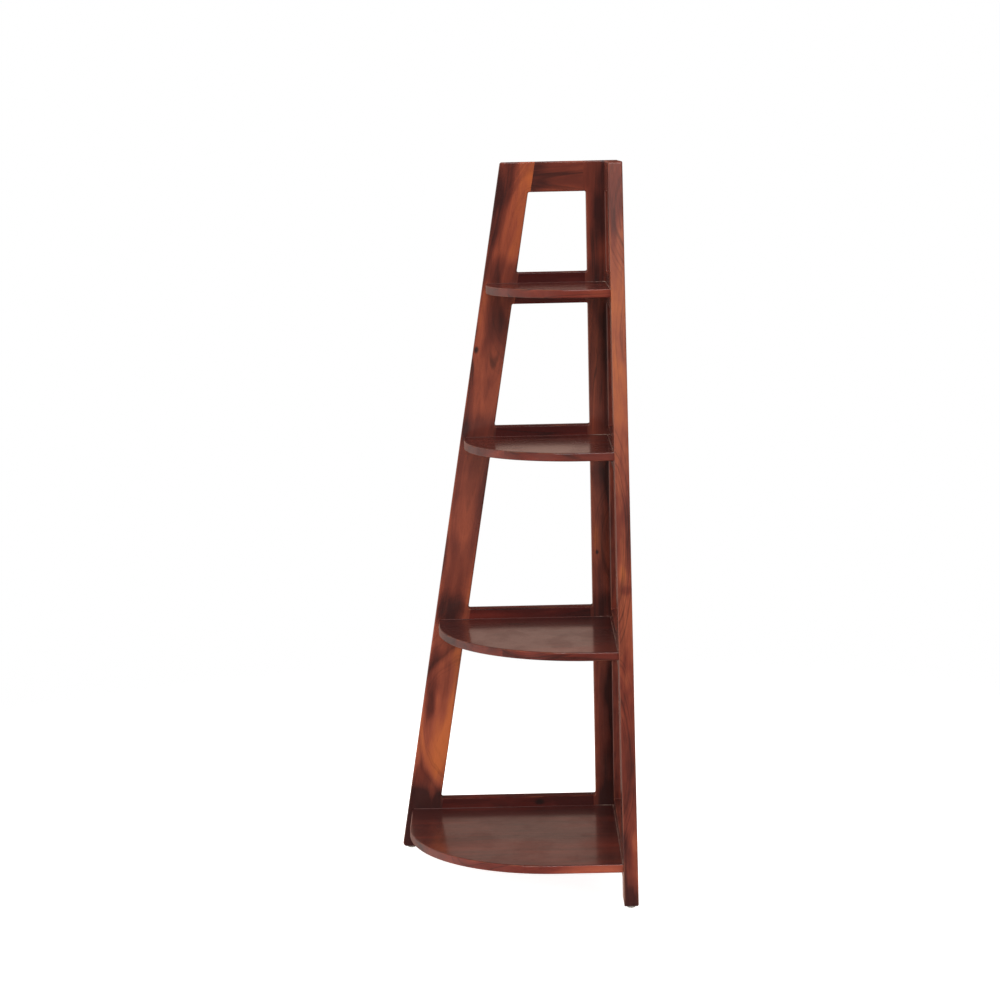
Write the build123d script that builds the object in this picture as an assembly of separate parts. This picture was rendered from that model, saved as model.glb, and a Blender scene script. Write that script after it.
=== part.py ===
from build123d import *
from math import atan2, cos, degrees
import os

# Corner ladder shelf: two tapering ladder frames meet at a right angle and carry
# four shelves with one rounded corner each. All lengths are in millimetres.
# Origin: middle of the overall footprint, on the floor. +Z up, -Y is the front,
# +Y is the wall behind, +X is the wall at the side.

# ---------------------------------------------------------------- overall sizes
OVERALL_HEIGHT = 1524.0
GLIDE_HEIGHT = 5.0
BASE_SPAN = 505.0       # each frame, corner to ladder foot, at the bottom
TOP_SPAN = 254.0        # the same at the top
THICKNESS = 30.0        # of every stile and rail

# ---------------------------------------------------------------- frame members
STILE_WIDTH = 70.0      # ladder stile, square to its own length
CORNER_WIDTH = 69.0     # corner stile, from the outer corner
RAIL_HEIGHT = 68.0
TOP_RAIL_HEIGHT = 65.0
RAIL_RISE = 23.0        # how far a shelf rail stands above its shelf
RELIEF = 5.0            # each opening is routed this far into the stiles
COVE = 3.5              # corner radius of a routed opening
ARRIS = 3.0             # rounding of every exposed long edge
HEAD_RADIUS = 5.0       # the ladder stile's outer corner at the top
FOOT_RADIUS = 8.0       # and its two corners at the bottom

# ---------------------------------------------------------------- shelves
SHELF_THICKNESS = 18.0
SHELF_TOPS = (1263.0, 928.0, 522.0, 91.0)
LEFT_INSETS = (7.0, 8.0, 10.0, 10.0)            # in from the back frame's sloping edge
FRONT_INSETS = (7.0, 16.0, 6.0, 5.0)            # in from the side frame's sloping edge
SHELF_RADII = (220.0, 254.0, 328.0, 314.0)      # the one large rounded corner
BOARD_WIDTHS = (                                # back boards; the front one takes the rest
    (88.0, 88.0),
    (122.0, 122.0),
    (108.0, 108.0, 108.0),
    (112.0, 110.0, 116.0),
)
SHELF_ARRIS = 2.5
SHELF_INNER_CORNER = 5.0

# ---------------------------------------------------------------- joints
TENON_THICKNESS = 10.0
TENON_SHOULDER = 10.0   # above and below each tenon
TENON_LENGTH = 36.0     # in the ladder stiles and the back corner stile
SHORT_TENON = 22.0      # in the side corner stile, which is narrower
TOP_HAUNCH = 18.0       # from the top of the frame down to the top rail's tenon
GLUE_GAP = 0.1
MORTISE_SPARE = 1.5     # at the bottom of each mortise

# ---------------------------------------------------------------- hardware
SHELF_SCREW = (4.5, 55.0)       # shank diameter, length
CORNER_SCREW = (5.0, 60.0)
SCREW_HEAD_RATIO = 2.0          # head diameter over shank diameter
SCREW_CORE_RATIO = 0.7          # thread core over shank diameter
SCREW_PLAIN_SHARE = 0.45        # of the length that has no thread
SCREW_RIM = 0.5                 # edge of the head
SCREW_SINK = 1.0                # head below the wood's surface
DRIVE_DEPTH = 1.6               # of the cross recess
DRIVE_SPAN = 1.1                # its length over the head's radius
DRIVE_WIDTH = 0.22              # its width over the shank's diameter
SCREW_GAP = 0.05                # room round each screw and nail
CORNER_SCREW_HEIGHTS = (33.0, 310.0, 720.0, 1090.0, 1390.0)
SCREWS_PER_SIDE = 3             # through each shelf rail
SCREW_END_MARGIN = 22.0         # from a rail's shoulder to its outermost screw
GLIDE_DIAMETER = 18.0
GLIDE_FROM_EDGE = 20.0          # glide's centre from the stile's outer edge
GLIDE_EDGE = 2.0
GLIDE_RIM = 0.5
NAIL_DIAMETER = 2.6
NAIL_HEAD = (8.0, 1.2)          # diameter, height
NAIL_LENGTH = 22.0
NAIL_POINT = 3.9                # length of the tapered point
NAIL_TIP_RADIUS = 0.13
NAIL_HEAD_LEVEL = 2.4           # underside of the nail's head above the floor

# ---------------------------------------------------------------- modelling
OVERCUT = 10.0          # how far a cutting shape runs out past the wood
TOUCH = 0.05            # two lengths closer than this are taken as equal

os.makedirs("parts", exist_ok=True)

FRAME_HEIGHT = OVERALL_HEIGHT - GLIDE_HEIGHT
SLOPE = (BASE_SPAN - TOP_SPAN) / FRAME_HEIGHT
LEAN = atan2(SLOPE, 1.0)
FOOTPRINT = BASE_SPAN - FOOT_RADIUS * (SLOPE + 1 / cos(LEAN) - 1)   # less the feet's rounding
HALF = FOOTPRINT / 2
STILE_ACROSS = STILE_WIDTH / cos(LEAN)
RELIEF_ACROSS = RELIEF / cos(LEAN)
TOP_RAIL_FOOT = OVERALL_HEIGHT - TOP_RAIL_HEIGHT
RAIL_SPANS = [(top + RAIL_RISE - RAIL_HEIGHT, top + RAIL_RISE) for top in SHELF_TOPS]

# The back frame's outer face: local x runs from the corner towards the ladder
# stile and local y runs up. The side frame is this frame seen in a mirror.
BACK_FACE = Plane(origin=(HALF, HALF, 0), x_dir=(-1, 0, 0), z_dir=(0, 1, 0))
DIAGONAL = Plane(origin=(HALF, HALF, 0), x_dir=(0, 0, 1), z_dir=(1, -1, 0))
INWARD = (0, -1, 0)


# ================================================================ small helpers
def outer_line(z):
    """Distance from the corner to the ladder stile's outer edge at a height."""
    return BASE_SPAN - SLOPE * (z - GLIDE_HEIGHT)


def opening_line(z):
    """Distance from the corner to the ladder stile's routed inner edge."""
    return outer_line(z) - STILE_ACROSS


def shoulder_line(z):
    """Distance from the corner to the joint between rails and ladder stile."""
    return opening_line(z) - RELIEF_ACROSS


def slab(points, start=0.0, depth=THICKNESS):
    """A flat piece in the back frame, from start below its outer face."""
    outline = make_face(Polyline(*points, close=True))
    piece = extrude(BACK_FACE * outline, amount=depth, dir=INWARD)
    return Pos(0, -start, 0) * piece


def on_both_faces(piece, wanted):
    """Edges lying in the two broad faces of a frame member whose middle is wanted."""
    chosen = []
    for face_y in (HALF, HALF - THICKNESS):
        for edge in piece.edges():
            middle = edge.position_at(0.5)
            flat = all(near(vertex.Y, face_y) for vertex in edge.vertices())
            if flat and wanted(HALF - middle.X, middle.Z):
                chosen.append(edge)
    return chosen


def near(value, target):
    """Whether two lengths are the same for modelling."""
    return abs(value - target) < TOUCH


# ================================================================ frame members
def opening_spans():
    """Heights of the openings between rails, from the floor up."""
    lows = [GLIDE_HEIGHT - OVERCUT] + [span[1] for span in reversed(RAIL_SPANS)]
    highs = [span[0] for span in reversed(RAIL_SPANS)] + [TOP_RAIL_FOOT]
    return list(zip(lows, highs))


def openings(edge_line, beyond):
    """The routed openings as flat faces, with coved corners at the stile."""
    faces = []
    for low, high in opening_spans():
        corners = [(edge_line(low), low), (edge_line(high), high)]
        far = [(beyond(high), high), (beyond(low), low)]
        outline = make_face(Polyline(*corners, *far, close=True))
        coved = [v for v in outline.vertices() if any(near(v.X, u) and near(v.Y, z) for u, z in corners)]
        faces.append(fillet(coved, COVE))
    return faces


def route(blank, edge_line, beyond):
    """Cuts the openings into a stile."""
    for face in openings(edge_line, beyond):
        blank -= extrude(BACK_FACE * face, amount=THICKNESS, dir=INWARD)
    return blank


def ladder_stile():
    """The sloping stile, with mortises for every rail."""
    low, high = GLIDE_HEIGHT, OVERALL_HEIGHT
    blank = slab([
        (outer_line(low), low),
        (outer_line(high), high),
        (shoulder_line(high), high),
        (shoulder_line(low), low),
    ])
    stile = route(blank, opening_line, lambda z: shoulder_line(z) - RELIEF)
    across = stile.edges().filter_by(Axis.Y)
    stile = fillet([e for e in across if near(e.center().Z, low)], FOOT_RADIUS)
    across = stile.edges().filter_by(Axis.Y)
    stile = fillet([e for e in across if near(HALF - e.center().X, outer_line(high))], HEAD_RADIUS)
    stile = fillet(on_both_faces(stile, lambda u, z: u > shoulder_line(z) + TOUCH), ARRIS)
    return cut_mortises(stile, shoulder_line, 1, TENON_LENGTH)


def corner_stile(start, tenon_length):
    """The upright stile at the corner, from start to its routed inner edge."""
    low, high = GLIDE_HEIGHT, OVERALL_HEIGHT
    edge = CORNER_WIDTH + RELIEF
    blank = slab([(start, low), (edge, low), (edge, high), (start, high)])
    stile = route(blank, lambda z: CORNER_WIDTH, lambda z: edge + RELIEF)
    stile = fillet(on_both_faces(stile, lambda u, z: u < edge - TOUCH), ARRIS)
    return cut_mortises(stile, lambda z: edge, -1, tenon_length)


def tenon(span, shoulder, way, length, gap=0.0, spare=0.0):
    """The tenon on one end of a rail, or with a gap, the mortise for it."""
    low = span[0] + TENON_SHOULDER - gap
    high = span[1] - (TOP_HAUNCH if near(span[1], OVERALL_HEIGHT) else TENON_SHOULDER) + gap
    reach = way * (length + spare)
    points = [
        (shoulder(low), low),
        (shoulder(low) + reach, low),
        (shoulder(high) + reach, high),
        (shoulder(high), high),
    ]
    return slab(points, (THICKNESS - TENON_THICKNESS) / 2 - gap, TENON_THICKNESS + 2 * gap)


def all_rail_spans():
    """Bottom and top of every rail of a frame, from the top down."""
    return [(TOP_RAIL_FOOT, OVERALL_HEIGHT)] + RAIL_SPANS


def cut_mortises(stile, shoulder, way, length):
    """A stile with a mortise for each rail, slightly deeper than its tenon."""
    for span in all_rail_spans():
        stile -= tenon(span, shoulder, way, length, GLUE_GAP, MORTISE_SPARE)
    return stile


def rail(span, corner_tenon):
    """A level rail with a tenon at each end."""
    low, high = span
    edge = CORNER_WIDTH + RELIEF
    bar = slab([(edge, low), (shoulder_line(low), low), (shoulder_line(high), high), (edge, high)])
    bar = fillet(on_both_faces(bar, lambda u, z: near(z, low) or near(z, high)), ARRIS)
    bar += tenon(span, lambda z: edge, -1, corner_tenon)
    bar += tenon(span, shoulder_line, 1, TENON_LENGTH)
    return bar


# ================================================================ shelves
def shelf_left(index):
    """X of a shelf's left end."""
    return HALF - outer_line(SHELF_TOPS[index]) + LEFT_INSETS[index]


def shelf_front(index):
    """Y of a shelf's front edge."""
    return HALF - outer_line(SHELF_TOPS[index]) + FRONT_INSETS[index]


def shelf_panel(index):
    """One whole shelf with its rounded corner and eased edges."""
    wall, left, front = HALF - THICKNESS, shelf_left(index), shelf_front(index)
    outline = make_face(Polyline((wall, wall), (left, wall), (left, front), (wall, front), close=True))
    rounded = [v for v in outline.vertices() if near(v.X, left) and near(v.Y, front)]
    outline = fillet(rounded, SHELF_RADII[index])
    outline = fillet(outline.vertices().sort_by(Axis((0, 0, 0), (1, 1, 0)))[-1], SHELF_INNER_CORNER)
    panel = Pos(0, 0, SHELF_TOPS[index] - SHELF_THICKNESS) * extrude(outline, amount=SHELF_THICKNESS)
    faces = panel.faces().sort_by(Axis.Z)
    return fillet(faces[-1].edges() + faces[0].edges(), SHELF_ARRIS)


def board_edges(index):
    """Y positions of a shelf's back, its glue lines and its front."""
    lines = [HALF - THICKNESS]
    for width in BOARD_WIDTHS[index]:
        lines.append(lines[-1] - width)
    return lines + [shelf_front(index)]


def shelf_boards(index):
    """The shelf cut into the boards that it is glued up from, back first."""
    panel = shelf_panel(index)
    lines = board_edges(index)
    boards = []
    for back, front in zip(lines, lines[1:]):
        strip = Box(FOOTPRINT, back - front, SHELF_THICKNESS + OVERCUT)
        place = Pos(0, (back + front) / 2, SHELF_TOPS[index] - SHELF_THICKNESS / 2)
        boards.append(panel & (place * strip))
    return boards


# ================================================================ hardware
def screw(size, gap=0.0):
    """A countersunk wood screw along +X, its head's top at x = 0, or with a gap, its hole."""
    shank, length = size
    head = shank * SCREW_HEAD_RATIO / 2 + gap
    core = shank * SCREW_CORE_RATIO / 2 + gap
    radius = shank / 2 + gap
    plain = length * SCREW_PLAIN_SHARE
    top = -2 * SCREW_SINK if gap else 0
    profile = [
        (top, 0),
        (top, head),
        (SCREW_RIM, head),
        (SCREW_RIM + head - radius, radius),
        (plain, radius),
        (plain + radius - core, core),
        (length - core, core),
        (length, 0),
    ]
    body = revolve(make_face(Polyline(*profile, close=True)), Axis.X)
    if gap:
        return body
    slot = (head * DRIVE_SPAN, shank * DRIVE_WIDTH)
    drive = Box(DRIVE_DEPTH * 2, *slot) + Box(DRIVE_DEPTH * 2, *reversed(slot))
    return body - drive


def placed_screws(size, spots, gap=0.0):
    """Copies of one screw at (x, y, z, turn), each a separate solid."""
    return [Pos(x, y, z) * Rot(0, 0, turn) * screw(size, gap) for x, y, z, turn in spots]


def shelf_screw_places(index):
    """Distances from the corner, and the height, of the screws through a rail."""
    level = SHELF_TOPS[index] - SHELF_THICKNESS / 2
    first = CORNER_WIDTH + RELIEF + SCREW_END_MARGIN
    last = shoulder_line(level) - SCREW_END_MARGIN
    step = (last - first) / (SCREWS_PER_SIDE - 1)
    return [first + step * n for n in range(SCREWS_PER_SIDE)], level


def back_screw_spots(index):
    """Screws through the back frame's rail into a shelf."""
    places, level = shelf_screw_places(index)
    return [(HALF - place, HALF - SCREW_SINK, level, -90) for place in places]


def side_screw_spots(index):
    """Screws through the side frame's rail into a shelf."""
    places, level = shelf_screw_places(index)
    return [(HALF - SCREW_SINK, HALF - place, level, 180) for place in places]


def corner_screw_spots():
    """Screws through the back corner stile into the side corner stile's edge."""
    across = HALF - THICKNESS / 2
    return [(across, HALF - SCREW_SINK, z, -90) for z in CORNER_SCREW_HEIGHTS]


def glide_spots():
    """Name and plan position of the glide under each stile."""
    ladder = BASE_SPAN - GLIDE_FROM_EDGE
    middle = HALF - THICKNESS / 2
    back_corner = HALF - CORNER_WIDTH / 2
    side_corner = HALF - (CORNER_WIDTH + THICKNESS) / 2
    return {
        "glide_back_ladder": (HALF - ladder, middle),
        "glide_back_corner": (back_corner, middle),
        "glide_side_corner": (middle, side_corner),
        "glide_side_ladder": (middle, HALF - ladder),
    }


def nail(gap=0.0):
    """The steel nail moulded into a glide, standing on its head."""
    head_radius, head_height = NAIL_HEAD[0] / 2 + gap, NAIL_HEAD[1] + 2 * gap
    low = NAIL_HEAD_LEVEL - gap
    head = Pos(0, 0, low + head_height / 2) * Cylinder(head_radius, head_height)
    shank_radius = NAIL_DIAMETER / 2 + gap
    tip = NAIL_HEAD_LEVEL + NAIL_LENGTH + gap
    start = low + head_height / 2
    neck = tip - NAIL_POINT
    shank = Pos(0, 0, (start + neck) / 2) * Cylinder(shank_radius, neck - start)
    point = Pos(0, 0, tip - NAIL_POINT / 2) * Cone(shank_radius, NAIL_TIP_RADIUS, NAIL_POINT)
    return head + shank + point


def glide():
    """A moulded glide with a rounded foot, open above for its nail."""
    disc = Pos(0, 0, GLIDE_HEIGHT / 2) * Cylinder(GLIDE_DIAMETER / 2, GLIDE_HEIGHT)
    disc = fillet(disc.edges().group_by(Axis.Z)[0], GLIDE_EDGE)
    disc = fillet(disc.edges().group_by(Axis.Z)[-1], GLIDE_RIM)
    return disc - nail(SCREW_GAP)


# ================================================================ assembly
def drilled(piece, tools):
    """A piece with the room for each screw or nail taken out of it."""
    box = piece.bounding_box()
    for tool in tools:
        reach = tool.bounding_box()
        apart = (
            reach.min.X > box.max.X or reach.max.X < box.min.X
            or reach.min.Y > box.max.Y or reach.max.Y < box.min.Y
            or reach.min.Z > box.max.Z or reach.max.Z < box.min.Z
        )
        if not apart:
            piece -= tool
    return piece


def build():
    """Every node by name, drilled for the hardware that passes through it."""
    wood = {
        "back_ladder_stile": ladder_stile(),
        "back_corner_stile": corner_stile(0.0, TENON_LENGTH),
        "back_top_rail": rail((TOP_RAIL_FOOT, OVERALL_HEIGHT), TENON_LENGTH),
        "side_ladder_stile": mirror(ladder_stile(), DIAGONAL),
        "side_corner_stile": mirror(corner_stile(THICKNESS, SHORT_TENON), DIAGONAL),
        "side_top_rail": mirror(rail((TOP_RAIL_FOOT, OVERALL_HEIGHT), SHORT_TENON), DIAGONAL),
    }
    back_spots, side_spots = [], []
    for index, span in enumerate(RAIL_SPANS):
        wood[f"back_shelf_rail_{index + 1}"] = rail(span, TENON_LENGTH)
        wood[f"side_shelf_rail_{index + 1}"] = mirror(rail(span, SHORT_TENON), DIAGONAL)
        for number, board in enumerate(shelf_boards(index)):
            wood[f"shelf_{index + 1}_board_{number + 1}"] = board
        back_spots += back_screw_spots(index)
        side_spots += side_screw_spots(index)

    fasteners = {
        "shelf_screws_back": (SHELF_SCREW, back_spots),
        "shelf_screws_side": (SHELF_SCREW, side_spots),
        "corner_screws": (CORNER_SCREW, corner_screw_spots()),
    }
    holes = []
    nodes = {}
    for name, (size, spots) in fasteners.items():
        holes += placed_screws(size, spots, SCREW_GAP)
        nodes[name] = Compound(children=placed_screws(size, spots))

    nails = []
    for name, (x, y) in glide_spots().items():
        nodes[name] = Pos(x, y, 0) * glide()
        nails.append(Pos(x, y, 0) * nail())
        holes.append(Pos(x, y, 0) * nail(SCREW_GAP))
    nodes["glide_nails"] = Compound(children=nails)

    for name, piece in wood.items():
        nodes[name] = drilled(piece, holes)
    return nodes


for node_name, node in build().items():
    export_step(node, f"parts/{node_name}.step")
print(f"lean of the ladder stiles: {degrees(LEAN):.2f} degrees")
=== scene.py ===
"""Looks of the corner ladder shelf: lacquered hardwood, nylon glides, zinc screws and a studio.

All lengths are in metres. +Z is up, -Y is the front, +Y is the wall behind, +X is the wall beside.
"""

import logging
import math
from dataclasses import dataclass, replace
from enum import Enum
from typing import Any, Dict, Optional, Sequence, Tuple, Union

import bpy
from mathutils import Euler, Matrix, Vector


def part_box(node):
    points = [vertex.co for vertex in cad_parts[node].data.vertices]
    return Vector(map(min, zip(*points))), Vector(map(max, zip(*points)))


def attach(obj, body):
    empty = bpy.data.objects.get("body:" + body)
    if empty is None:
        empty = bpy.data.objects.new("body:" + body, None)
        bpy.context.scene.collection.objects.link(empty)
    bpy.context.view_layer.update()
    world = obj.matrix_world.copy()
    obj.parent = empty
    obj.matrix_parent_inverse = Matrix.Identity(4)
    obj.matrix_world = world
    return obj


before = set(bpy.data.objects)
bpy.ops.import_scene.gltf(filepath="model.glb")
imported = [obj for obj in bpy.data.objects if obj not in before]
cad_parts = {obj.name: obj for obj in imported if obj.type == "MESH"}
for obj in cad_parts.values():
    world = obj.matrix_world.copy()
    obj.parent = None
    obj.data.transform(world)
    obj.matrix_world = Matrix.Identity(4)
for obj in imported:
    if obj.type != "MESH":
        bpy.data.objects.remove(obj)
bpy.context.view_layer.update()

LOG = logging.getLogger("ladder_shelf")

Colour = Tuple[float, float, float]
Triple = Tuple[float, float, float]

RIGHT = Vector((1.0, 0.0, 0.0))
BACK = Vector((0.0, 1.0, 0.0))
UP = Vector((0.0, 0.0, 1.0))
NEAR = 1e-6


# ================================================================ shader maths
class Value:
    """A number that varies over a surface: one socket of a node graph, with arithmetic."""

    def __init__(self, graph: "Graph", socket: bpy.types.NodeSocket) -> None:
        """Wraps a socket.

        Args:
            graph: The node graph that the socket belongs to.
            socket: The output socket that carries the number.
        """
        self.graph = graph
        self.socket = socket

    def _math(self, operation: str, *others: "Number") -> "Value":
        """One Math node on this value and up to two others."""
        return self.graph.math(operation, self, *others)

    def __add__(self, other: "Number") -> "Value":
        """Sum."""
        return self._math("ADD", other)

    def __radd__(self, other: "Number") -> "Value":
        """Sum with a plain number on the left."""
        return self.graph.math("ADD", other, self)

    def __sub__(self, other: "Number") -> "Value":
        """Difference."""
        return self._math("SUBTRACT", other)

    def __rsub__(self, other: "Number") -> "Value":
        """Difference with a plain number on the left."""
        return self.graph.math("SUBTRACT", other, self)

    def __mul__(self, other: "Number") -> "Value":
        """Product."""
        return self._math("MULTIPLY", other)

    def __rmul__(self, other: "Number") -> "Value":
        """Product with a plain number on the left."""
        return self.graph.math("MULTIPLY", other, self)

    def __truediv__(self, other: "Number") -> "Value":
        """Quotient."""
        return self._math("DIVIDE", other)

    def __pow__(self, other: "Number") -> "Value":
        """Power."""
        return self._math("POWER", other)

    def __abs__(self) -> "Value":
        """Size without its sign."""
        return self._math("ABSOLUTE")

    def clamped(self) -> "Value":
        """The value held between 0 and 1."""
        return self.graph.math("ADD", self, 0.0, clamp=True)

    def ramp(self, low: float, high: float) -> "Value":
        """A smooth step from 0 at low to 1 at high.

        Args:
            low: Where the step starts.
            high: Where it ends; below low, the step runs down instead of up.

        Returns:
            The step, between 0 and 1.
        """
        flipped = high < low
        step = self.graph.add(
            "ShaderNodeMapRange",
            {"interpolation_type": "SMOOTHSTEP"},
            {"Value": self, "From Min": min(low, high), "From Max": max(low, high)},
        ).outputs["Result"]
        result = Value(self.graph, step)
        return 1.0 - result if flipped else result


Number = Union[Value, float]


class Graph:
    """The node graph of one material or world, with one method that adds any node."""

    def __init__(self, tree: bpy.types.NodeTree) -> None:
        """Takes over a node tree and empties it.

        Args:
            tree: The tree to fill.
        """
        self.tree = tree
        tree.nodes.clear()

    def add(
        self,
        kind: str,
        settings: Optional[Dict[str, Any]] = None,
        inputs: Optional[Dict[Union[str, int], Any]] = None,
    ) -> bpy.types.Node:
        """Adds a node, sets it up and feeds its sockets.

        Args:
            kind: The node's type.
            settings: Its own settings; "stops" holds a colour ramp's (position, colour) pairs.
            inputs: What goes into each socket, by name or number: a Value, a socket or a constant.

        Returns:
            The node.
        """
        node = self.tree.nodes.new(kind)
        for name, setting in (settings or {}).items():
            if name == "stops":
                self._set_stops(node.color_ramp, setting)
            else:
                setattr(node, name, setting)
        for name, given in (inputs or {}).items():
            socket = node.inputs[name]
            if isinstance(given, Value):
                self.tree.links.new(given.socket, socket)
            elif isinstance(given, bpy.types.NodeSocket):
                self.tree.links.new(given, socket)
            else:
                socket.default_value = given
        return node

    @staticmethod
    def _set_stops(ramp: bpy.types.ColorRamp, stops: Sequence[Tuple[float, Colour]]) -> None:
        """Gives a colour ramp its stops.

        Args:
            ramp: The ramp.
            stops: Positions from 0 to 1 and their colours.
        """
        while len(ramp.elements) < len(stops):
            ramp.elements.new(1.0)
        for element, (position, colour) in zip(ramp.elements, stops):
            element.position = position
            element.color = (*colour, 1.0)

    def math(self, operation: str, *terms: Number, clamp: bool = False) -> Value:
        """A Math node.

        Args:
            operation: Which sum it does.
            *terms: Its operands.
            clamp: Whether to hold the result between 0 and 1.

        Returns:
            The result.
        """
        settings = {"operation": operation, "use_clamp": clamp}
        return Value(self, self.add("ShaderNodeMath", settings, dict(enumerate(terms))).outputs[0])

    def place(self) -> bpy.types.NodeSocket:
        """The point of the surface, in metres in the object's own frame."""
        return self.add("ShaderNodeTexCoord").outputs["Object"]

    def turned(self, point: bpy.types.NodeSocket, centre: Vector, axes: Matrix) -> bpy.types.NodeSocket:
        """A point seen from a timber's own centre and axes.

        Args:
            point: The point to turn.
            centre: The timber's centre.
            axes: Rows that hold the across, face and grain directions.

        Returns:
            The turned point: x across, y through the thickness, z along the grain.
        """
        settings = {"Vector": point, "Location": -(axes @ centre), "Rotation": axes.to_euler()}
        return self.add("ShaderNodeMapping", {"vector_type": "POINT"}, settings).outputs[0]

    def scaled(
        self, point: bpy.types.NodeSocket, scale: Triple, shift: float = 0.0
    ) -> bpy.types.NodeSocket:
        """A point multiplied part by part, then shifted alike along all three axes."""
        inputs = {0: point, 1: scale, 2: (shift, shift, shift)}
        return self.add("ShaderNodeVectorMath", {"operation": "MULTIPLY_ADD"}, inputs).outputs[0]

    def split(self, point: bpy.types.NodeSocket) -> Tuple[Value, Value, Value]:
        """The three parts of a point."""
        outputs = self.add("ShaderNodeSeparateXYZ", {}, {0: point}).outputs
        return Value(self, outputs[0]), Value(self, outputs[1]), Value(self, outputs[2])

    def joined(self, x: Number, y: Number, z: Number) -> bpy.types.NodeSocket:
        """A point from its three parts."""
        return self.add("ShaderNodeCombineXYZ", {}, {0: x, 1: y, 2: z}).outputs[0]

    def along(self, normal: bpy.types.NodeSocket, direction: Vector) -> Value:
        """How squarely a normal lies along a direction, either way.

        Args:
            normal: The surface's normal.
            direction: The direction, of length 1.

        Returns:
            0 where they are square to each other, 1 where they are parallel.
        """
        settings = {"operation": "DOT_PRODUCT"}
        cosine = self.add("ShaderNodeVectorMath", settings, {0: normal, 1: direction}).outputs["Value"]
        return abs(Value(self, cosine))

    def noise(self, point: bpy.types.NodeSocket, detail: float = 2.0, roughness: float = 0.5) -> Value:
        """Soft noise around 0.5 with features about one unit across.

        Args:
            point: Where the noise is read.
            detail: How many finer layers it has.
            roughness: How strong those layers are.

        Returns:
            The noise.
        """
        inputs = {"Vector": point, "Scale": 1.0, "Detail": detail, "Roughness": roughness}
        node = self.add("ShaderNodeTexNoise", {"noise_dimensions": "3D"}, inputs)
        return Value(self, node.outputs["Fac"])

    def mixed(self, factor: Number, first: Any, second: Any) -> bpy.types.NodeSocket:
        """Two colours mixed by a factor.

        Args:
            factor: Share of the second colour.
            first: A colour or its socket.
            second: A colour or its socket.

        Returns:
            The mixed colour.
        """
        colours = [(*c, 1.0) if isinstance(c, tuple) else c for c in (first, second)]
        settings = {"data_type": "RGBA", "blend_type": "MIX", "clamp_factor": True}
        inputs = {0: factor, 6: colours[0], 7: colours[1]}
        return self.add("ShaderNodeMix", settings, inputs).outputs[2]

    def surfaced(self, inputs: Dict[str, Any]) -> None:
        """Ends a material with a Principled shader.

        Args:
            inputs: What goes into the shader's sockets.
        """
        shader = self.add("ShaderNodeBsdfPrincipled", {}, inputs)
        self.add("ShaderNodeOutputMaterial", {}, {"Surface": shader.outputs[0]})

    def bump(self, height: Value, distance: float, strength: float) -> bpy.types.NodeSocket:
        """The surface's normal, disturbed by a height.

        Args:
            height: Relative height, 0 to 1.
            distance: What a height of 1 stands for, in metres.
            strength: Share of the effect that shows.

        Returns:
            The normal.
        """
        return self.add(
            "ShaderNodeBump", {}, {"Height": height, "Distance": distance, "Strength": strength}
        ).outputs[0]


def new_material(name: str) -> Tuple[bpy.types.Material, Graph]:
    """A new material and its empty node graph.

    Args:
        name: The material's name.

    Returns:
        Both.
    """
    made = bpy.data.materials.new(name)
    made.use_nodes = True
    return made, Graph(made.node_tree)


# ================================================================ finishes
class Cut(Enum):
    """How a timber was sawn: where the heart of the tree lies from its face."""

    FLAT = (0.004, -0.045)
    RIFT = (0.050, -0.040)


@dataclass(frozen=True)
class Zone:
    """An oval zone of a face or, edgewise, of an edge, lighter or darker than the rest."""

    across: float
    along: float
    width: float
    length: float
    lighter: float
    edgewise: bool = False

    def distance(self, surface: "Surface") -> Value:
        """How far the surface lies from the zone's middle, where 1 is its rim.

        Args:
            surface: The timber's surface.

        Returns:
            The distance.
        """
        sideways = surface.through if self.edgewise else surface.across
        x = (sideways - self.across) / self.width
        z = (surface.along - self.along) / self.length
        return (x * x + z * z) ** 0.5


@dataclass(frozen=True)
class Patch(Zone):
    """A zone that fades out towards an uneven rim."""

    unevenness: float = 1.6

    def share(self, surface: "Surface", ragged: Value) -> Value:
        """How much of the patch shows, 0 to 1.

        Args:
            surface: The timber's surface.
            ragged: Noise that makes the rim uneven.

        Returns:
            The share.
        """
        inside = (self.distance(surface) + (ragged - 0.5) * self.unevenness).ramp(1.0, 0.25)
        return inside * surface.edge if self.edgewise else inside


@dataclass(frozen=True)
class Flame(Zone):
    """Nested arches, where the saw ran nearly level with the rings."""

    drawn: float = 0.20
    rim: float = 0.16
    unevenness: float = 0.5
    arches_per_rim: float = 7.0

    def shares(self, surface: "Surface", ragged: Value) -> Tuple[Value, Value]:
        """How much of the flame's inside shows, and how much of its arches.

        Args:
            surface: The timber's surface.
            ragged: Noise that makes the arches uneven.

        Returns:
            Two shares, each 0 to 1.
        """
        graph = surface.graph
        distance = self.distance(surface) + (ragged - 0.5) * self.unevenness
        place = graph.joined(distance * self.arches_per_rim, self.along * 9.0, surface.along * 2.0)
        lines = abs(graph.noise(place) - 0.5).ramp(0.05, 0.0)
        lines = lines * distance.ramp(0.55, 0.85) * distance.ramp(2.0, 1.4)
        rim = abs(distance - 1.0).ramp(0.10, 0.0)
        shows = surface.edge if self.edgewise else 1.0 - surface.edge
        return distance.ramp(1.05, 0.90) * shows, (lines * self.drawn + rim * self.rim) * shows


@dataclass(frozen=True)
class Knot:
    """A small knot that the grain flows around."""

    across: float
    along: float
    radius: float
    stretch: float = 1.5
    reach: float = 5.0
    push: float = 1.6

    def distance(self, across: Value, along: Value) -> Value:
        """Distance from the knot's middle over its radius.

        Args:
            across: The point's place across the face.
            along: Its place along the grain.

        Returns:
            The distance.
        """
        x = (across - self.across) / self.radius
        z = (along - self.along) / (self.radius * self.stretch)
        return (x * x + z * z) ** 0.5


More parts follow.
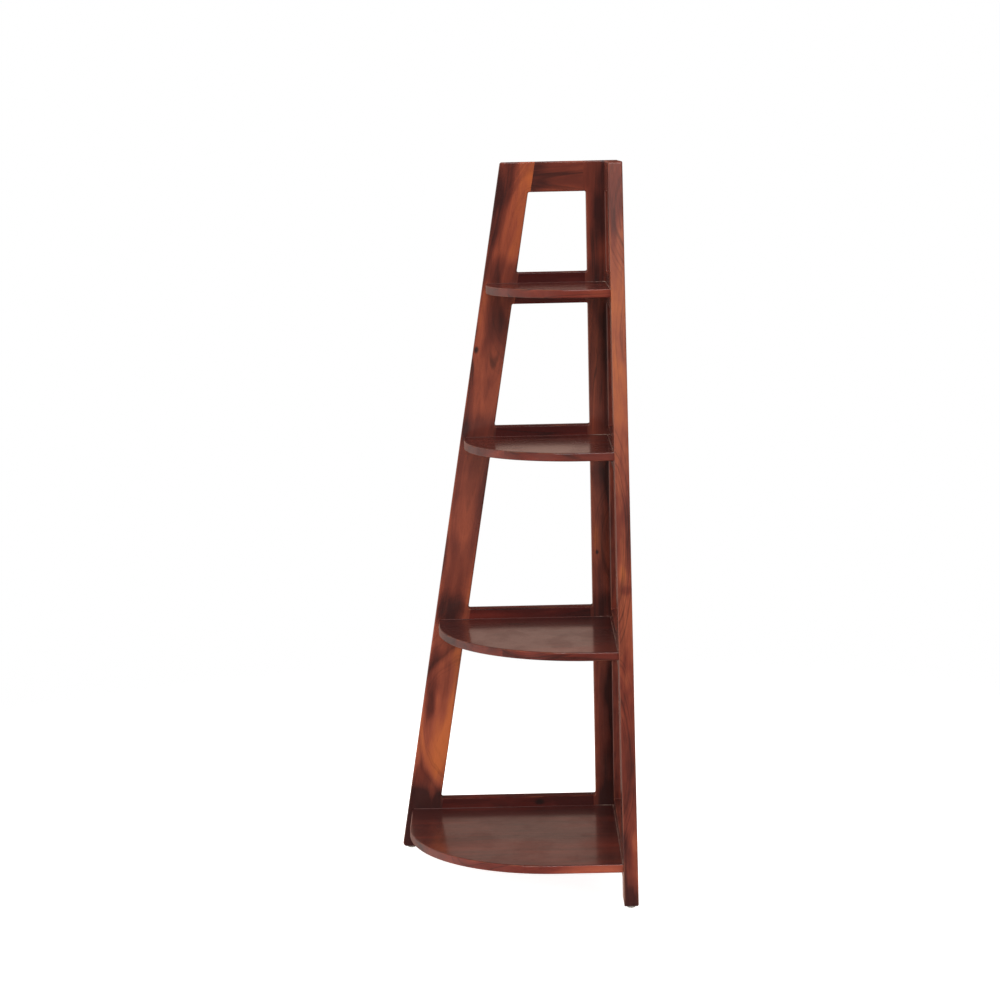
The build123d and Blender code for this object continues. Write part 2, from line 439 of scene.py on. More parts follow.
@dataclass(frozen=True)
class Figure:
    """Sizes of the wood's figure: repeats per metre across, through and along the grain."""

    bow: Triple = (9.0, 9.0, 2.6)
    sway: Triple = (11.0, 11.0, 3.1)
    zones: Triple = (16.0, 16.0, 4.6)
    mottle: Triple = (55.0, 55.0, 19.0)
    fibres: Triple = (900.0, 900.0, 13.0)
    pores: Triple = (1700.0, 1700.0, 55.0)
    rubbing: Triple = (60.0, 60.0, 14.0)
    clouds: Triple = (13.0, 10.0, 4.0)
    bands: Tuple[float, float] = (55.0, 1.6)
    rings: Tuple[float, float] = (330.0, 3.0)
    veins: Tuple[float, float] = (36.0, 0.9)
    wander: float = 0.060


class Surface:
    """A timber's surface as its finish sees it: places, directions and noise of its own."""

    def __init__(self, graph: Graph, timber: "Timber") -> None:
        """Reads the surface in the timber's own axes.

        Args:
            graph: The material's node graph.
            timber: The timber.
        """
        self.graph = graph
        self.timber = timber
        self.point = graph.turned(graph.place(), timber.centre(), timber.axes())
        self.across, self.through, self.along = graph.split(self.point)
        normal = graph.add("ShaderNodeNewGeometry").outputs["True Normal"]
        self.tilt = graph.along(normal, timber.inward)
        self.edge = self.tilt.ramp(0.95, 0.3)
        self.arris = self.tilt.ramp(0.05, 0.30) * self.tilt.ramp(0.97, 0.80)
        self.end_grain = graph.along(normal, timber.grain).ramp(0.75, 0.95)
        self.level = graph.along(normal, UP).ramp(0.16, 0.42)

    def noise(self, size: Triple, draw: float, detail: float = 2.0, roughness: float = 0.5) -> Value:
        """Noise that no other timber shares.

        Args:
            size: Repeats per metre across, through and along.
            draw: Number that sets this noise apart from the timber's others.
            detail: How many finer layers it has.
            roughness: How strong those layers are.

        Returns:
            The noise.
        """
        place = self.graph.scaled(self.point, size, self.timber.seed + draw)
        return self.graph.noise(place, detail, roughness)

    def layers(
        self, radius: Value, size: Tuple[float, float], draw: float = 0.0, roughness: float = 0.5
    ) -> Value:
        """Noise that follows the year rings.

        Args:
            radius: Distance from the heart of the tree.
            size: Repeats per metre of radius and along the grain.
            draw: Number that sets this noise apart from the timber's others.
            roughness: How strong its finer layers are.

        Returns:
            The noise.
        """
        place = self.graph.joined(radius * size[0], self.along * size[1], self.timber.seed + draw)
        return self.graph.noise(place, 2.0, roughness)

    def radius(self, figure: Figure) -> Value:
        """Distance from the heart of the tree, with its bends and the flow around knots.

        Args:
            figure: Sizes of the wood's figure.

        Returns:
            The distance in metres.
        """
        bow = self.noise(figure.bow, 0.0, 1.0) - 0.5
        sway = self.noise(figure.sway, 41.0, 1.0) - 0.5
        flow: Number = 0.0
        for knot in self.timber.knots:
            near = knot.distance(self.across, self.along).ramp(knot.reach, 0.0)
            flow = flow + near * (knot.radius * knot.push)
        heart_across, heart_behind = self.timber.cut.value
        drift_across, drift_behind = self.timber.drift
        x = self.across + bow * figure.wander + flow - self.along * drift_across - heart_across
        y = self.through + sway * figure.wander - self.along * drift_behind - heart_behind
        return (x * x + y * y) ** 0.5

    def knot_cores(self) -> Number:
        """How far the surface lies in a knot's dark core.

        Returns:
            The share, 0 to 1.
        """
        cores: Number = 0.0
        for knot in self.timber.knots:
            cores = cores + knot.distance(self.across, self.along).ramp(1.25, 0.35)
        return cores


@dataclass(frozen=True)
class StainedWood:
    """Reddish brown stained hardwood under a clear gloss lacquer."""

    vein: Colour = (0.014, 0.0035, 0.0030)
    heart: Colour = (0.042, 0.0070, 0.0055)
    red: Colour = (0.150, 0.0260, 0.0140)
    brown: Colour = (0.290, 0.0590, 0.0265)
    honey: Colour = (0.470, 0.1100, 0.0280)
    rubbed: Colour = (0.460, 0.1500, 0.0650)
    roughness: float = 0.42
    lacquer_roughness: float = 0.14
    lacquer: float = 0.92
    wear: float = 0.16
    ledge_gloss: float = 0.15
    base_gloss: float = 0.20
    cloudy: float = 0.0
    band_contrast: float = 0.85
    zone_contrast: float = 1.05
    ring_contrast: float = 0.20
    mottle_contrast: float = 0.22
    edge_mottle: float = 0.40
    fibre_contrast: float = 0.22
    vein_depth: float = 0.60
    pore_depth: float = 0.45
    knot_depth: float = 0.90
    end_grain_depth: float = 0.45
    relief: float = 0.00016
    relief_share: float = 0.55
    figure: Figure = Figure()

    def material(self, timber: "Timber") -> bpy.types.Material:
        """The finish for one timber, with that timber's own figure.

        Args:
            timber: The timber's axes, cut, tone, patches and knots.

        Returns:
            The material.
        """
        made, graph = new_material(f"lacquered_{timber.node}")
        surface = Surface(graph, timber)
        radius = surface.radius(self.figure)
        rings = surface.layers(radius, self.figure.rings, roughness=0.6)
        zones = surface.noise(self.figure.zones, 7.0)
        fibres = surface.noise(self.figure.fibres, 0.0, 3.0, 0.65)
        pores = surface.noise(self.figure.pores, 3.0, 1.0).ramp(0.60, 0.72)

        tone, dark = self._stain(surface, radius, rings, zones, fibres, pores)
        stops = ((0.0, self.heart), (0.34, self.red), (0.62, self.brown), (1.0, self.honey))
        colour = graph.add("ShaderNodeValToRGB", {"stops": stops}, {0: tone}).outputs[0]
        depth = (dark + surface.end_grain * self.end_grain_depth).clamped()
        colour = graph.mixed(depth, colour, self.vein)
        rubbing = graph.noise(graph.scaled(surface.point, self.figure.rubbing, 5.0)).ramp(0.45, 0.62)
        rub = surface.arris * rubbing
        colour = graph.mixed(rub * self.wear, colour, self.rubbed)

        ledge = surface.level * (1.0 - self.ledge_gloss)
        coat = self.lacquer - pores * 0.35 - rub * 0.25
        if self.cloudy:
            clouds = graph.noise(graph.scaled(graph.place(), self.figure.clouds, 3.0), 3.0, 0.6)
            coat = coat * (1.0 - clouds.ramp(0.44, 0.64) * self.cloudy)
        height = fibres * 0.5 - pores * 0.8 + rings * 0.25
        graph.surfaced(
            {
            "Base Color": colour,
            "Roughness": self.roughness + (fibres - 0.5) * 0.30 + pores * 0.15 + ledge * 0.35,
            "Specular IOR Level": self.base_gloss,
            "Coat Weight": coat * (1.0 - surface.end_grain * 0.6) * (1.0 - ledge),
            "Coat Roughness": self.lacquer_roughness,
            "Coat IOR": 1.5,
            "Normal": graph.bump(height, self.relief, self.relief_share),
            }
        )
        return made

    def _stain(
        self, surface: Surface, radius: Value, rings: Value, zones: Value, fibres: Value, pores: Value
    ) -> Tuple[Value, Value]:
        """How light the stain is, and how far veins, pores, knots and arches darken it.

        Args:
            surface: The timber's surface.
            radius: Distance from the heart of the tree.
            rings: Noise of the year rings.
            zones: Noise of the broad light and dark zones.
            fibres: Noise of the fibres.
            pores: Share of open pores.

        Returns:
            The tone along the stain's colours and the share of the vein colour, each 0 to 1.
        """
        timber = surface.timber
        bands = surface.layers(radius, self.figure.bands)
        mottle = surface.noise(self.figure.mottle, 13.0, roughness=0.6)
        line = surface.layers(radius, self.figure.veins, 19.0)
        veins = abs(line - 0.5).ramp(0.016, 0.0) * zones.ramp(0.66, 0.44) * timber.veined
        figure = (bands - 0.5) * self.band_contrast + (zones - 0.5) * self.zone_contrast
        figure = figure + (rings - 0.5) * self.ring_contrast
        figure = figure + (mottle - 0.5) * (self.mottle_contrast + surface.edge * self.edge_mottle)
        tone = timber.tone + figure * timber.figure + surface.edge * timber.edge_lift
        tone = tone + (fibres - 0.5) * self.fibre_contrast
        dark = veins * self.vein_depth + pores * self.pore_depth * fibres
        dark = dark + surface.knot_cores() * self.knot_depth
        for patch in timber.patches:
            tone = tone + patch.share(surface, zones) * patch.lighter
        for flame in timber.flames:
            inside, arches = flame.shares(surface, zones)
            tone = tone + inside * flame.lighter
            dark = dark + arches
        return tone, dark


@dataclass(frozen=True)
class Nylon:
    """Moulded natural nylon, a little scuffed."""

    colour: Colour = (0.30, 0.28, 0.25)
    scuffed: Colour = (0.17, 0.16, 0.14)
    clouds: Triple = (220.0, 220.0, 220.0)
    scratches: Triple = (2600.0, 240.0, 900.0)
    worn_height: float = 0.0022

    def material(self) -> bpy.types.Material:
        """The finish, worn towards the floor.

        Returns:
            The material.
        """
        made, graph = new_material("moulded_nylon")
        point = graph.place()
        cloud = graph.noise(graph.scaled(point, self.clouds), 3.0, 0.6)
        scratches = graph.noise(graph.scaled(point, self.scratches), 2.0, 0.6).ramp(0.56, 0.70)
        _, _, height = graph.split(point)
        worn = height.ramp(self.worn_height, 0.0) * cloud.ramp(0.35, 0.65)
        graph.surfaced(
            {
            "Base Color": graph.mixed(worn * 0.7 + scratches * 0.2, self.colour, self.scuffed),
            "Roughness": 0.38 + cloud * 0.16 + worn * 0.2,
            "Normal": graph.bump(cloud - scratches * 0.5, 0.0002, 0.4),
            "Subsurface Weight": 0.25,
            "Subsurface Radius": (0.004, 0.003, 0.002),
            "Subsurface Scale": 0.5,
            }
        )
        return made


@dataclass(frozen=True)
class ZincSteel:
    """Zinc-plated steel of the screws and nails."""

    bright: Colour = (0.66, 0.64, 0.58)
    dull: Colour = (0.40, 0.37, 0.30)
    thread_pitch: float = 0.0022
    clouds: Triple = (300.0, 300.0, 300.0)
    speckles: Triple = (2400.0, 2400.0, 2400.0)

    def material(self, name: str, axis: int) -> bpy.types.Material:
        """The finish, with rolled threads along one axis.

        Args:
            name: The material's name.
            axis: 0, 1 or 2 for screws along X, Y or Z.

        Returns:
            The material.
        """
        made, graph = new_material(name)
        point = graph.place()
        cloud = graph.noise(graph.scaled(point, self.clouds), 4.0, 0.65)
        speckle = graph.noise(graph.scaled(point, self.speckles), 2.0, 0.6)
        thread = graph.math("SINE", graph.split(point)[axis] * (math.tau / self.thread_pitch))
        graph.surfaced(
            {
            "Base Color": graph.mixed(cloud.ramp(0.40, 0.66), self.bright, self.dull),
            "Metallic": 1.0,
            "Roughness": 0.26 + cloud * 0.22 + speckle * 0.08,
            "Normal": graph.bump(thread * 0.4 + speckle * 0.2, 0.0003, 0.6),
            }
        )
        return made


# ================================================================ timbers
@dataclass(frozen=True)
class Timber:
    """One piece of wood: where its grain runs and what figure it shows.

    Patches, flames and knots are placed from the middle of the piece's box. Along runs with the
    grain. Across runs to the right on the back frame's uprights, down on its rails, and to the
    front on the side frame's uprights and on the shelf boards.
    """

    node: str
    grain: Vector
    inward: Vector
    seed: float
    tone: float
    figure: float = 1.0
    veined: float = 1.0
    edge_lift: float = 0.0
    cut: Cut = Cut.FLAT
    drift: Tuple[float, float] = (0.0, 0.02)
    patches: Tuple[Patch, ...] = ()
    flames: Tuple[Flame, ...] = ()
    knots: Tuple[Knot, ...] = ()

    def centre(self) -> Vector:
        """Middle of the piece's box."""
        low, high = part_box(self.node)
        return (low + high) / 2

    def axes(self) -> Matrix:
        """The timber's own axes.

        Returns:
            Rows that hold the directions across, into the face, and along the grain.
        """
        grain = self.grain.normalized()
        inward = (self.inward - grain * self.inward.dot(grain)).normalized()
        return Matrix((inward.cross(grain), inward, grain))


def dress(node: str, material: bpy.types.Material) -> None:
    """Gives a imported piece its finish.

    Args:
        node: The piece's name.
        material: The finish for every slot of the piece.
    """
    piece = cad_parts[node]
    for slot in piece.material_slots:
        slot.material = material
    LOG.info("%s: %s, %d faces", node, material.name, len(piece.data.polygons))


@dataclass(frozen=True)
class LadderFrame:
    """One tapering frame: a sloping ladder stile, an upright corner stile and five rails."""

    side: str
    towards_corner: Vector
    inward: Vector
    finish: StainedWood
    rail_finish: StainedWood
    seed: float
    # Place and size of the darker zones above the shelves: partly pooled stain, partly painted shade.
    shade_pool_rise: float = 0.018
    shade_pool_width: float = 0.080
    shade_pool_length: float = 0.055

    def lean(self) -> Vector:
        """Direction of the ladder stile from foot to head, from where the rails' tenons end.

        Returns:
            The direction, of length 1.
        """
        top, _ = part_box(f"{self.side}_shelf_rail_1")
        bottom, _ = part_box(f"{self.side}_shelf_rail_4")
        rise = top - bottom
        return (self.towards_corner * rise.dot(self.towards_corner) + UP * rise.z).normalized()

    def pools_and_shade(self, part: str, grain: Vector, darker: float) -> Tuple[Patch, ...]:
        """Darker zones of a stile just above each shelf: partly stain pooled in the joint, partly
        painted shade where shelf and stile meet.

        Args:
            part: The stile's name without its side.
            grain: Which way its grain runs.
            darker: How much darker they are.

        Returns:
            One patch above each shelf.
        """
        low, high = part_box(f"{self.side}_{part}")
        middle = (low.z + high.z) / 2
        patches = []
        for number in range(1, 5):
            _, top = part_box(f"shelf_{number}_board_1")
            along = (top.z + self.shade_pool_rise - middle) / grain.z
            patches.append(Patch(0.0, along, self.shade_pool_width, self.shade_pool_length, -darker))
        return tuple(patches)

    def timber(self, part: str, grain: Vector, tone: float, **figure: Any) -> Timber:
        """One of the frame's pieces.

        Args:
            part: The piece's name without its side.
            grain: Which way its grain runs.
            tone: How light its stain is, 0 to 1.
            **figure: Further fields of the timber.

        Returns:
            The timber, with a seed of its own.
        """
        seed = self.seed + sum(ord(letter) for letter in part) % 97
        return Timber(f"{self.side}_{part}", grain, self.inward, seed, tone, **figure)


class BackFrame(LadderFrame):
    """The frame that faces the front."""

    def dress(self) -> None:
        """Gives all seven pieces their finish."""
        ladder = self.timber(
            "ladder_stile", self.lean(), 0.50, drift=(0.03, 0.03),
            patches=(
                # Darker above each shelf: partly pooled stain, partly painted shade.
                *self.pools_and_shade("ladder_stile", self.lean(), 0.34),
                Patch(-0.034, 0.64, 0.016, 0.12, -0.22),
                Patch(-0.012, 0.75, 0.032, 0.08, -0.24),
                Patch(-0.018, 0.41, 0.034, 0.07, -0.18),
                Patch(0.000, 0.25, 0.080, 0.06, -0.06),
                Patch(0.000, 0.15, 0.080, 0.12, -0.06),
                Patch(-0.042, -0.10, 0.014, 0.08, -0.30),
                Patch(0.000, -0.36, 0.060, 0.07, -0.26),
                Patch(0.016, -0.55, 0.050, 0.10, 0.16),
                Patch(-0.022, -0.447, 0.013, 0.034, -0.18),
                Patch(0.000, -0.64, 0.160, 0.22, -0.36),
                Patch(-0.010, -0.71, 0.100, 0.10, -0.24),
                Patch(0.000, -0.77, 0.120, 0.12, -0.45),
            ),
            flames=(
                Flame(0.045, 0.60, 0.057, 0.17, 0.17),
                Flame(0.040, -0.47, 0.083, 0.178, 0.37),
            ),
            knots=(Knot(-0.0315, 0.355, 0.006),),
        )
        corner = self.timber(
            "corner_stile", UP, 0.33, cut=Cut.RIFT, drift=(0.02, 0.01),
            patches=(
                # Darker above each shelf: partly pooled stain, partly painted shade.
                *self.pools_and_shade("corner_stile", UP, 0.26),
                Patch(-0.020, -0.07, 0.018, 0.09, 0.36),
                # The next two darken the stile just under shelves 2 and 3: painted shadow of the
                # shelves.
                Patch(0.000, 0.085, 0.070, 0.07, -0.30),
                Patch(0.000, -0.390, 0.060, 0.10, -0.20),
                Patch(0.004, -0.605, 0.060, 0.10, -0.28),
                Patch(-0.022, 0.36, 0.020, 0.10, 0.14),
                # A long strip towards the side frame: partly darker wood, partly painted shade of the
                # inner corner.
                Patch(0.014, 0.0, 0.024, 1.3, -0.18),
                # The next three darken the corner towards the side frame under shelves 1, 2 and 3:
                # painted shadow of the shelves.
                Patch(0.014, 0.42, 0.030, 0.06, -0.30),
                Patch(0.010, 0.06, 0.040, 0.08, -0.30),
                Patch(0.012, -0.40, 0.034, 0.07, -0.20),
                # The next two darken the corner towards the side frame above shelf 1: painted shade.
                Patch(-0.005, 0.62, 0.040, 0.09, -0.18),
                Patch(0.010, 0.70, 0.060, 0.14, -0.26),
            ),
            flames=(Flame(0.020, -0.07, 0.030, 0.08, 0.06, drawn=0.40),),
            knots=(Knot(-0.0204, -0.0976, 0.004),),
        )
        top = self.timber(
            "top_rail", RIGHT, 0.34, drift=(0.02, 0.07),
            patches=(Patch(0.0, -0.04, 0.05, 0.035, -0.14),),
        )
        for piece in (ladder, corner, top):
            dress(piece.node, self.finish.material(piece))
        for number, tone in enumerate((-0.10, 0.04, 0.14, 0.00), start=1):
            knots = (Knot(-0.022, 0.052, 0.008),) if number == 4 else ()
            piece = self.timber(
                f"shelf_rail_{number}", RIGHT, tone, figure=0.6, knots=knots,
                # Lighter along the rail's lower edge, where it shows below the shelf: painted bounce
                # light in the shelf's shadow.
                patches=(Patch(0.030, 0.0, 0.014, 0.40, 0.30),),
            )
            dress(piece.node, self.rail_finish.material(piece))


class SideFrame(LadderFrame):
    """The frame at the right, seen nearly edge-on from the front."""

    def dress(self) -> None:
        """Gives all seven pieces their finish."""
        ladder = self.timber(
            "ladder_stile", self.lean(), 0.46, figure=0.80, veined=0.45,
            cut=Cut.RIFT, drift=(0.05, 0.03),
            patches=(
                Patch(0.035, 0.72, 0.060, 0.12, -0.25),
                Patch(0.035, 0.36, 0.070, 0.28, 0.22),
                Patch(0.035, 0.03, 0.070, 0.11, -0.08),
                Patch(0.035, -0.56, 0.080, 0.42, -0.29),
                Patch(0.035, -0.80, 0.080, 0.22, -0.24),
                Patch(-0.004, -0.090, 0.012, 0.030, 0.20, edgewise=True),
                Patch(0.004, -0.125, 0.020, 0.014, -0.20, edgewise=True),
                Patch(-0.008, 0.60, 0.010, 0.060, -0.20, edgewise=True),
            ),
            flames=(
                Flame(-0.026, -0.02, 0.030, 0.15, 0.05, edgewise=True, drawn=0.50),
                Flame(0.045, 0.66, 0.048, 0.10, 0.06, edgewise=True, drawn=0.28),
                Flame(-0.026, -0.47, 0.030, 0.13, 0.05, edgewise=True, drawn=0.45),
            ),
        )
        corner = self.timber("corner_stile", UP, 0.24, cut=Cut.RIFT)
        rails = [self.timber("top_rail", BACK, 0.30)]
        for number in range(1, 5):
            rails.append(self.timber(f"shelf_rail_{number}", BACK, 0.14, figure=0.7))
        for piece in (ladder, corner, *rails):
            dress(piece.node, self.finish.material(piece))


@dataclass(frozen=True)
class FillerBead:
    """The bead of stained wax filler where a shelf's edge meets a frame."""

    width: float = 0.0028
    rise: float = 0.0008
    sink: float = 0.0022
    hollow: float = 0.0023
    facets: int = 5
    profile: float = 0.22

    def build(self, name: str, start: Vector, end: Vector, outward: Vector) -> bpy.types.Object:
        """Models one bead.

        Args:
            name: The piece's name.
            start: One end of the line where the shelf's top meets the frame.
            end: The other end.
            outward: Direction from the frame out over the shelf.

        Returns:
            The bead, a strip with a hollow face.
        """
        bpy.ops.object.select_all(action="DESELECT")
        middle = (start + end) / 2 + outward * (self.width / 2) + UP * ((self.rise - self.sink) / 2)
        bpy.ops.mesh.primitive_cube_add(size=1.0, location=middle)
        bead = bpy.context.active_object
        bead.name = name
        along = end - start
        bead.scale = [abs(along[i]) + abs(outward[i]) * self.width for i in range(3)]
        bead.scale.z = self.rise + self.sink
        bpy.ops.object.transform_apply(location=True, rotation=False, scale=True)
        self._hollow_out(bead, outward)
        bpy.ops.object.shade_smooth_by_angle(angle=math.radians(50.0))
        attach(bead, "root")
        LOG.info("%s: %d faces", name, len(bead.data.polygons))
        return bead

    def _hollow_out(self, bead: bpy.types.Object, outward: Vector) -> None:
        """Bevels the bead's free upper edge into a hollow.

        Args:
            bead: The bead, still a bar.
            outward: Direction from the frame out over the shelf.
        """
        mesh = bead.data
        reach = max(vertex.co.dot(outward) for vertex in mesh.vertices)
        top = max(vertex.co.z for vertex in mesh.vertices)
        bpy.ops.object.mode_set(mode="EDIT")
        bpy.ops.mesh.select_all(action="DESELECT")
        bpy.ops.mesh.select_mode(type="EDGE")
        bpy.ops.object.mode_set(mode="OBJECT")
        for edge in mesh.edges:
            ends = [mesh.vertices[index].co for index in edge.vertices]
            edge.select = all(
                abs(end.dot(outward) - reach) < NEAR and abs(end.z - top) < NEAR for end in ends
            )
        bpy.ops.object.mode_set(mode="EDIT")
        bpy.ops.mesh.bevel(
            offset=self.hollow, segments=self.facets, profile=self.profile, affect="EDGES"
        )
        bpy.ops.object.mode_set(mode="OBJECT")


@dataclass(frozen=True)
class WaxFiller:
    """Wax filler stained to match the wood, rubbed smooth and a little lighter than it; paler patches
    near the corner of the two frames are painted highlight.
    """

    colour: Colour = (0.085, 0.0150, 0.0090)
    # Colour of the paler patches near the frames' corner: painted highlight.
    pale: Colour = (0.42, 0.30, 0.24)
    patches: Triple = (60.0, 60.0, 60.0)
    crumbs: Triple = (700.0, 700.0, 700.0)

    def material(self) -> bpy.types.Material:
        """The finish, with paler patches near the corner of the two frames that are painted highlight.

        Returns:
            The material.
        """
        made, graph = new_material("wax_filler")
        point = graph.place()
        from_side, from_back, _ = graph.split(point)
        # Paler patches near the corner of the two frames: painted highlight of the glints where filler
        # and frames meet.
        highlight_patches = graph.noise(graph.scaled(point, self.patches), 3.0, 0.6).ramp(0.40, 0.62)
        corner_highlight = from_side.ramp(0.175, 0.215) * (0.25 + from_back.ramp(0.19, 0.215) * 0.75)
        crumbs = graph.noise(graph.scaled(point, self.crumbs), 2.0, 0.6)
        graph.surfaced(
            {
            "Base Color": graph.mixed(highlight_patches * corner_highlight, self.colour, self.pale),
            "Roughness": 0.40 + crumbs * 0.25,
            "Coat Weight": 0.15,
            "Coat Roughness": 0.3,
            "Normal": graph.bump(crumbs, 0.0002, 0.5),
            }
        )
        return made


@dataclass(frozen=True)
class Shelf:
    """One shelf, glued up from boards that run from side to side."""

    number: int
    boards: int
    finish: StainedWood
    filler: bpy.types.Material
    front_glow: Tuple[Patch, ...] = ()
    tone: float = 0.03
    tone_spread: float = 0.05
    end_gap: float = 0.004

    def fill(self) -> None:
        """Adds the filler beads where the shelf meets the two frames."""
        back_low, back_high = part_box(f"shelf_{self.number}_board_1")
        front_low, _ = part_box(f"shelf_{self.number}_board_{self.boards}")
        corner = back_high
        left = Vector((back_low.x, corner.y, corner.z))
        front = Vector((corner.x, front_low.y, corner.z))
        bead = FillerBead()
        for name, end, outward in (("back", left, -BACK), ("side", front, -RIGHT)):
            inset = (corner - end).normalized() * self.end_gap
            piece = bead.build(f"shelf_{self.number}_{name}_filler", end + inset, corner, outward)
            piece.data.materials.append(self.filler)

    def dress(self) -> None:
        """Gives each board its finish, a little different from its neighbours'."""
        for board in range(1, self.boards + 1):
            seed = 100.0 + 17.0 * self.number + 5.3 * board
            tone = self.tone + self.tone_spread * math.sin(seed)
            timber = Timber(
                f"shelf_{self.number}_board_{board}", RIGHT, -UP, seed, tone,
                figure=0.50, edge_lift=0.21, drift=(0.0, 0.015),
                patches=self.front_glow if board == self.boards else (),
            )
            dress(timber.node, self.finish.material(timber))


# ================================================================ studio
@dataclass(frozen=True)
class SoftBox:
    """A large soft light."""

    name: str
    place: Triple
    aim: Triple
    width: float
    height: float
    power: float
    mirrored: bool = True

    def build(self) -> bpy.types.Object:
        """Adds the light to the scene.

        Returns:
            The light.
        """
        lamp = bpy.data.lights.new(self.name, "AREA")
        lamp.shape = "RECTANGLE"
        lamp.size = self.width
        lamp.size_y = self.height
        lamp.energy = self.power
        holder = bpy.data.objects.new(self.name, lamp)
        bpy.context.scene.collection.objects.link(holder)
        holder.location = self.place
        beam = Vector(self.aim) - Vector(self.place)
        holder.rotation_euler = beam.to_track_quat("-Z", "Y").to_euler()
        holder.visible_camera = False
        holder.visible_glossy = self.mirrored
        LOG.info("%s: %.0f W", self.name, self.power)
        return holder


@dataclass(frozen=True)
class Studio:
    """Pale floor, soft light from the front and above, a bright surround and the camera.

    A screen is a bright stretch of the surround in front, between two heights, that the gloss
    mirrors. Its four heights are where it starts and is full, and where it starts and ends fading.
    """

    floor_solid: float = 0.9
    floor_reach: float = 2.3
    floor_colour: Colour = (0.93, 0.93, 0.925)
    floor_glow: float = 0.90
    pale_wall: Colour = (1.0, 0.91, 0.84)
    warm_wall: Colour = (1.0, 0.64, 0.52)
    base_level: float = 0.06
    sky_level: float = 0.16
    back_level: float = 0.28
    upper_back_level: float = 0.17
    left_level: float = 0.34
    right_level: float = 0.28
    low_screen: Tuple[float, float, float, float] = (-0.195, -0.150, -0.120, -0.050)
    high_screen: Tuple[float, float, float, float] = (0.14, 0.24, 0.36, 0.46)
    low_screen_level: float = 0.55
    high_screen_level: float = 0.70
    camera_place: Triple = (0.0004, -5.1329, 1.5835)
    camera_pitch: float = 0.14753
    camera_yaw: float = 0.003316
    camera_roll: float = -0.022024
    camera_lens: float = 88.492

    def build(self) -> None:
        """Adds the whole studio."""
        self._floor()
        self._surround()
        self._camera()
        for light in (
            SoftBox("key_softbox", (-0.3, -3.2, 3.9), (0.0, 0.1, 0.8), 2.6, 1.5, 98.0),
            SoftBox("top_softbox", (0.0, 0.4, 3.7), (0.0, 0.4, 0.0), 3.4, 3.4, 50.0, mirrored=False),
            SoftBox("left_softbox", (-3.0, -2.6, 1.3), (0.0, 0.0, 0.7), 1.3, 1.8, 31.0, mirrored=False),
            SoftBox("right_softbox", (2.6, -3.2, 1.3), (0.0, 0.0, 0.7), 1.3, 1.8, 29.0, mirrored=False),
        ):
            light.build()
        bpy.context.scene.view_settings.view_transform = "Standard"

    def _floor(self) -> None:
        """A large pale floor that fades into the surround."""
        bpy.ops.object.select_all(action="DESELECT")
        bpy.ops.mesh.primitive_circle_add(vertices=96, radius=self.floor_reach, fill_type="NGON")
        floor = bpy.context.active_object
        floor.name = "studio_floor"
        made, graph = new_material("pale_floor")
        point = graph.place()
        x, y, _ = graph.split(point)
        away = (x * x + y * y) ** 0.5
        grain = graph.noise(graph.scaled(point, (30.0, 30.0, 30.0)), 3.0, 0.6)
        matt = graph.add(
            "ShaderNodeBsdfPrincipled",
            {},
            {
                "Base Color": (*self.floor_colour, 1.0),
                "Roughness": 0.75 + grain * 0.1,
                "Specular IOR Level": 0.2,
                "Emission Color": (1.0, 1.0, 1.0, 1.0),
                "Emission Strength": self.floor_glow,
            },
        )
        clear = graph.add("ShaderNodeBsdfTransparent")
        fade = away.ramp(self.floor_solid, self.floor_reach * 0.98)
        shaders = {0: fade, 1: matt.outputs[0], 2: clear.outputs[0]}
        faded = graph.add("ShaderNodeMixShader", {}, shaders)
        graph.add("ShaderNodeOutputMaterial", {}, {"Surface": faded.outputs[0]})
        floor.data.materials.append(made)
        floor.visible_glossy = False

    def _surround(self) -> None:
        """White for the eye, and for the light a surround that is bright behind and dim in front."""
        world = bpy.data.worlds.new("surround")
        bpy.context.scene.world = world
        world.use_nodes = True
        graph = Graph(world.node_tree)
        direction = graph.add("ShaderNodeTexCoord").outputs["Generated"]
        side, depth, height = graph.split(direction)
        behind = (depth - side * 0.6).ramp(-0.1, 0.7)
        front = depth.ramp(-0.6, -0.8)
        left = side.ramp(-0.35, -0.75)
        right = side.ramp(0.35, 0.75)
        low = self._screen(height, self.low_screen) * self.low_screen_level
        high = self._screen(height, self.high_screen) * self.high_screen_level
        back = self.back_level + height.ramp(0.28, 0.20) * self.upper_back_level
        level = self.base_level + behind * back + height.ramp(-0.1, 0.9) * self.sky_level
        level = level + front * (low + high) + left * self.left_level + right * self.right_level
        warm = graph.mixed(behind * (1.0 - left), self.pale_wall, self.warm_wall)
        seen = graph.add("ShaderNodeBackground", {}, {"Color": (1.0, 1.0, 1.0, 1.0), "Strength": 1.0})
        lit = graph.add("ShaderNodeBackground", {}, {"Color": warm, "Strength": level})
        eye = graph.add("ShaderNodeLightPath").outputs["Is Camera Ray"]
        both = graph.add("ShaderNodeMixShader", {}, {0: eye, 1: lit.outputs[0], 2: seen.outputs[0]})
        graph.add("ShaderNodeOutputWorld", {}, {"Surface": both.outputs[0]})

    @staticmethod
    def _screen(height: Value, heights: Tuple[float, float, float, float]) -> Value:
        """How fully a height lies within a screen, 0 to 1."""
        return height.ramp(heights[0], heights[1]) * height.ramp(heights[3], heights[2])

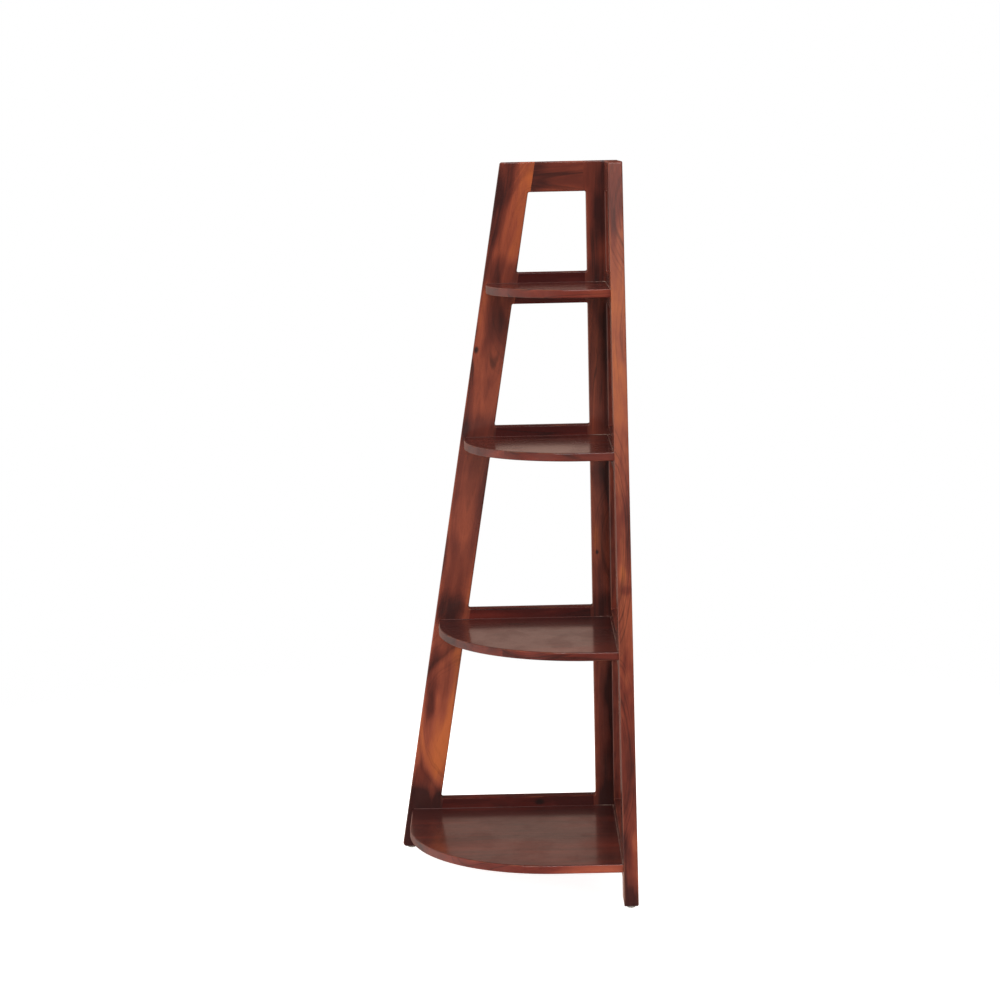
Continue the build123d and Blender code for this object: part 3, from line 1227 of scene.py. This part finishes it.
    def _camera(self) -> None:
        """The camera, level with the unit's top and tilted down."""
        lens = bpy.data.cameras.new("camera")
        lens.lens = self.camera_lens
        lens.sensor_width = 36.0
        camera = bpy.data.objects.new("camera", lens)
        bpy.context.scene.collection.objects.link(camera)
        aim = Euler((math.pi / 2 - self.camera_pitch, 0.0, self.camera_yaw)).to_matrix()
        turned = aim @ Matrix.Rotation(self.camera_roll, 3, "Z")
        camera.matrix_world = Matrix.Translation(self.camera_place) @ turned.to_4x4()
        bpy.context.scene.camera = camera


def main() -> None:
    """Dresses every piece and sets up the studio."""
    logging.basicConfig(level=logging.INFO, format="%(message)s")
    wood = StainedWood()
    rail_wood = replace(
        wood, base_gloss=0.06,
        heart=(0.056, 0.0052, 0.0040), red=(0.165, 0.0185, 0.0110), brown=(0.26, 0.038, 0.0190),
    )
    shelf_wood = replace(
        wood, ledge_gloss=1.0, cloudy=0.27, heart=(0.048, 0.0058, 0.0042), red=(0.155, 0.0225, 0.0125)
    )
    side_wood = replace(wood, brown=(0.268, 0.0620, 0.0270), honey=(0.435, 0.1150, 0.0290))
    BackFrame("back", RIGHT, BACK, wood, rail_wood, seed=2.0).dress()
    SideFrame("side", BACK, RIGHT, side_wood, rail_wood, seed=33.0).dress()
    filler = WaxFiller().material()
    front_glows = {
        1: (Patch(0.0, 0.04, 0.030, 0.12, 0.10, edgewise=True),),
        4: (Patch(0.0, 0.15, 0.030, 0.12, 0.24, edgewise=True),),
    }
    for number, boards in enumerate((3, 3, 4, 4), start=1):
        shelf = Shelf(number, boards, shelf_wood, filler, front_glows.get(number, ()))
        shelf.dress()
        shelf.fill()
    nylon = Nylon().material()
    for name in ("back_ladder", "back_corner", "side_corner", "side_ladder"):
        dress(f"glide_{name}", nylon)
    zinc = ZincSteel()
    axes = {"shelf_screws_back": 1, "corner_screws": 1, "shelf_screws_side": 0, "glide_nails": 2}
    for node, axis in axes.items():
        dress(node, zinc.material(f"zinc_{node}", axis))
    Studio().build()


if __name__ == "__main__":
    main()
